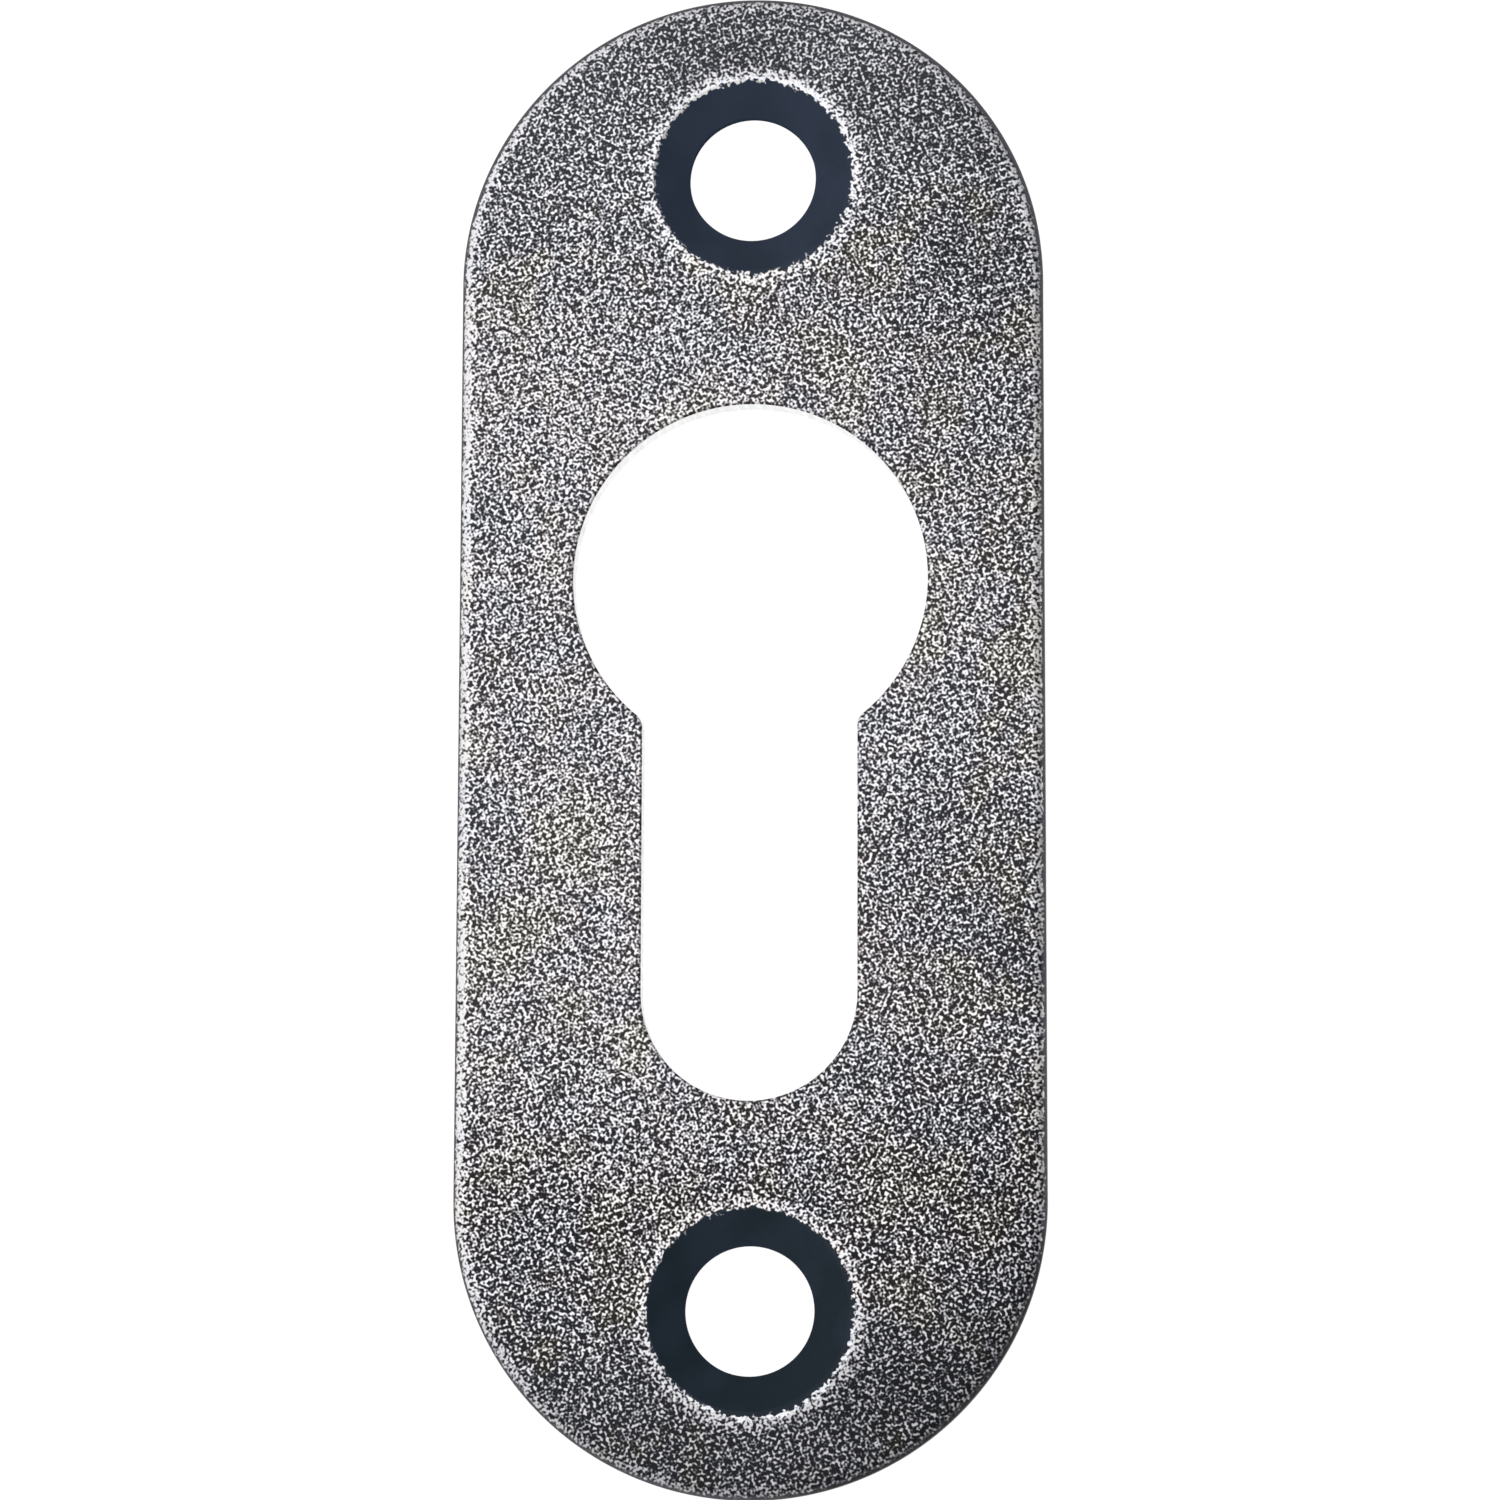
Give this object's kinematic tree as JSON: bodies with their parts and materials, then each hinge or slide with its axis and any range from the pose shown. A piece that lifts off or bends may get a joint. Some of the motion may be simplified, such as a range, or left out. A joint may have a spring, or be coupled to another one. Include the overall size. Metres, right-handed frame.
{
  "type": "keyhole escutcheon",
  "caption": "Flat obround metal escutcheon plate with a profile cylinder keyhole and a countersunk screw hole at each end.",
  "frame": {"origin": "centre of the plate's back face", "axes": "+Z out of the front face, +Y along the plate towards the keyhole's round head, +X to the right seen from the front"},
  "size_m": [0.0284, 0.0732, 0.0015],
  "materials": {
    "plate": "blasted, fine pitted grain, satin"
  },
  "bodies": {
    "root": {"escutcheon_plate": "plate"}
  },
  "joints": []
}
